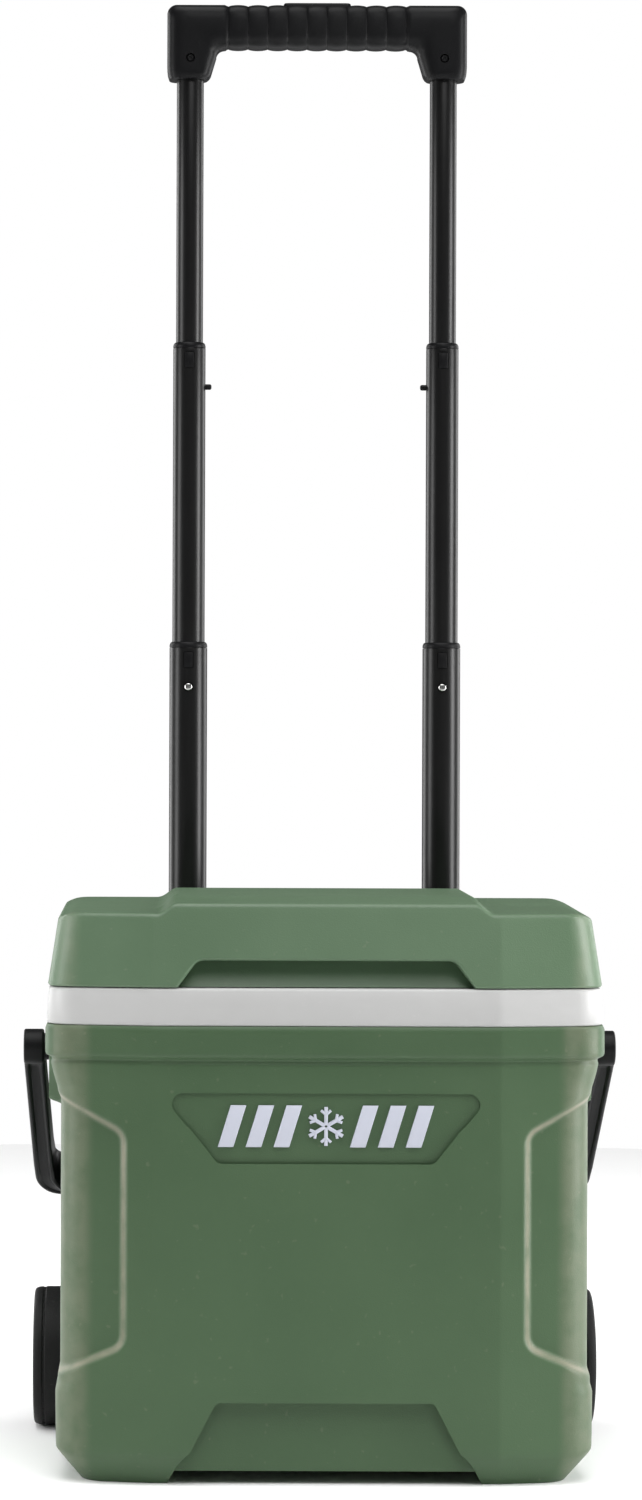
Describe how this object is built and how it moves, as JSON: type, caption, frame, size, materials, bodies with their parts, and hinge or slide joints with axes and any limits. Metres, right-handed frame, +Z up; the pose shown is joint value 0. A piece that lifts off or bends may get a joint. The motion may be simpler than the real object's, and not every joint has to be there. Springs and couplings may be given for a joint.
{
  "type": "wheeled hard cooler",
  "caption": "Hard-sided cooler on wheels with a hinged lid, a swinging bail handle and a telescoping tow handle, shown fully extended.",
  "frame": {"origin": "on the ground, under the middle of the bounding box in its rest pose", "axes": "+X to the right as seen from the front, +Y to the rear, +Z up along the tow handle"},
  "size_m": [0.4216, 0.3127, 1.0553],
  "materials": {
    "green_plastic": "textured polypropylene, olive green",
    "light_grey_plastic": "smooth polypropylene, light grey",
    "black_plastic": "fine-textured black plastic",
    "black_coated_aluminium": "satin black coating",
    "bright_steel": "zinc-plated",
    "black_tyre": "moulded black tyre",
    "insulating_foam": "rigid insulating foam, off-white",
    "pale_mark": "pale printed mark"
  },
  "bodies": {
    "cooler_body": {"body_shell": "green_plastic", "body_liner": "light_grey_plastic", "body_foam": "insulating_foam", "emblem": "pale_mark", "rear_housing": "black_plastic", "guide_sleeve_left": "black_plastic", "guide_sleeve_right": "black_plastic", "deck_screw_1": "bright_steel", "deck_screw_2": "bright_steel", "deck_screw_3": "bright_steel", "deck_screw_4": "bright_steel", "hinge_pin_left": "bright_steel", "hinge_pin_right": "bright_steel", "bail_pin_left": "black_plastic", "bail_pin_right": "black_plastic", "stub_axle_left": "bright_steel", "stub_axle_right": "bright_steel", "axle_push_nut_left": "bright_steel", "axle_push_nut_right": "bright_steel"},
    "lid": {"lid_shell": "green_plastic", "lid_liner": "light_grey_plastic", "lid_foam": "insulating_foam", "lid_hinge_left": "black_plastic", "lid_hinge_right": "black_plastic"},
    "bail": {"bail_handle": "black_plastic"},
    "handle_low": {"outer_tube_left": "black_coated_aluminium", "outer_tube_right": "black_coated_aluminium", "outer_collar_left": "black_plastic", "outer_collar_right": "black_plastic"},
    "handle_mid": {"middle_tube_left": "black_coated_aluminium", "middle_tube_right": "black_coated_aluminium", "middle_collar_left": "black_plastic", "middle_collar_right": "black_plastic", "middle_glide_left": "black_plastic", "middle_glide_right": "black_plastic"},
    "handle_top": {"inner_tube_left": "black_coated_aluminium", "inner_tube_right": "black_coated_aluminium", "inner_glide_left": "black_plastic", "inner_glide_right": "black_plastic", "grip_front": "black_plastic", "grip_rear": "black_plastic", "grip_rivet_left": "bright_steel", "grip_rivet_right": "bright_steel", "button_spring": "bright_steel"},
    "release": {"release_button": "black_plastic", "release_yoke": "bright_steel", "release_rod_left": "bright_steel", "release_rod_right": "bright_steel"},
    "middle_pin_left": {"middle_lock_pin_left": "bright_steel"},
    "middle_pin_right": {"middle_lock_pin_right": "bright_steel"},
    "outer_pin_left": {"outer_lock_pin_left": "bright_steel"},
    "outer_pin_right": {"outer_lock_pin_right": "bright_steel"},
    "wheel_left": {"wheel_tyre_left": "black_tyre", "wheel_hub_left": "black_plastic", "hub_cap_left": "black_plastic"},
    "wheel_right": {"wheel_tyre_right": "black_tyre", "wheel_hub_right": "black_plastic", "hub_cap_right": "black_plastic"}
  },
  "joints": [
    {"name": "lid_hinge", "type": "hinge", "parent": "cooler_body", "child": "lid", "pos_m": [0, 0.0795, 0.386], "axis": [-1, 0, 0], "range_deg": [0, 85]},
    {"name": "bail_swing", "type": "hinge", "parent": "cooler_body", "child": "bail", "pos_m": [0, -0.0145, 0.289], "axis": [1, 0, 0], "range_deg": [0, 68]},
    {"name": "handle_low_slide", "type": "slide", "parent": "cooler_body", "child": "handle_low", "axis": [0, 0, 1], "range_m": [-0.252, 0]},
    {"name": "handle_mid_slide", "type": "slide", "parent": "handle_low", "child": "handle_mid", "axis": [0, 0, 1], "range_m": [-0.185, 0]},
    {"name": "handle_top_slide", "type": "slide", "parent": "handle_mid", "child": "handle_top", "axis": [0, 0, 1], "range_m": [-0.19, 0]},
    {"name": "release_button_press", "type": "slide", "parent": "handle_top", "child": "release", "axis": [0, 0, -1], "range_m": [0, 0.004], "stiffness_N_per_m": 300, "springref_m": -0.004, "deforming": ["button_spring"]},
    {"name": "middle_pin_left_slide", "type": "slide", "parent": "handle_mid", "child": "middle_pin_left", "axis": [-1, 0, 0], "range_m": [0, 0.004]},
    {"name": "middle_pin_right_slide", "type": "slide", "parent": "handle_mid", "child": "middle_pin_right", "axis": [1, 0, 0], "range_m": [0, 0.004]},
    {"name": "outer_pin_left_slide", "type": "slide", "parent": "handle_low", "child": "outer_pin_left", "axis": [0, 1, 0], "range_m": [0, 0.004]},
    {"name": "outer_pin_right_slide", "type": "slide", "parent": "handle_low", "child": "outer_pin_right", "axis": [0, 1, 0], "range_m": [0, 0.004]},
    {"name": "wheel_left_spin", "type": "hinge", "parent": "cooler_body", "child": "wheel_left", "pos_m": [-0.1895, 0.1055, 0.051], "axis": [1, 0, 0], "continuous": true},
    {"name": "wheel_right_spin", "type": "hinge", "parent": "cooler_body", "child": "wheel_right", "pos_m": [0.1895, 0.1055, 0.051], "axis": [1, 0, 0], "continuous": true}
  ],
  "couplings": [
    {"joint": "middle_pin_left_slide", "follows": "release_button_press", "ratio": 1},
    {"joint": "middle_pin_right_slide", "follows": "release_button_press", "ratio": 1},
    {"joint": "outer_pin_left_slide", "follows": "release_button_press", "ratio": 1},
    {"joint": "outer_pin_right_slide", "follows": "release_button_press", "ratio": 1}
  ]
}
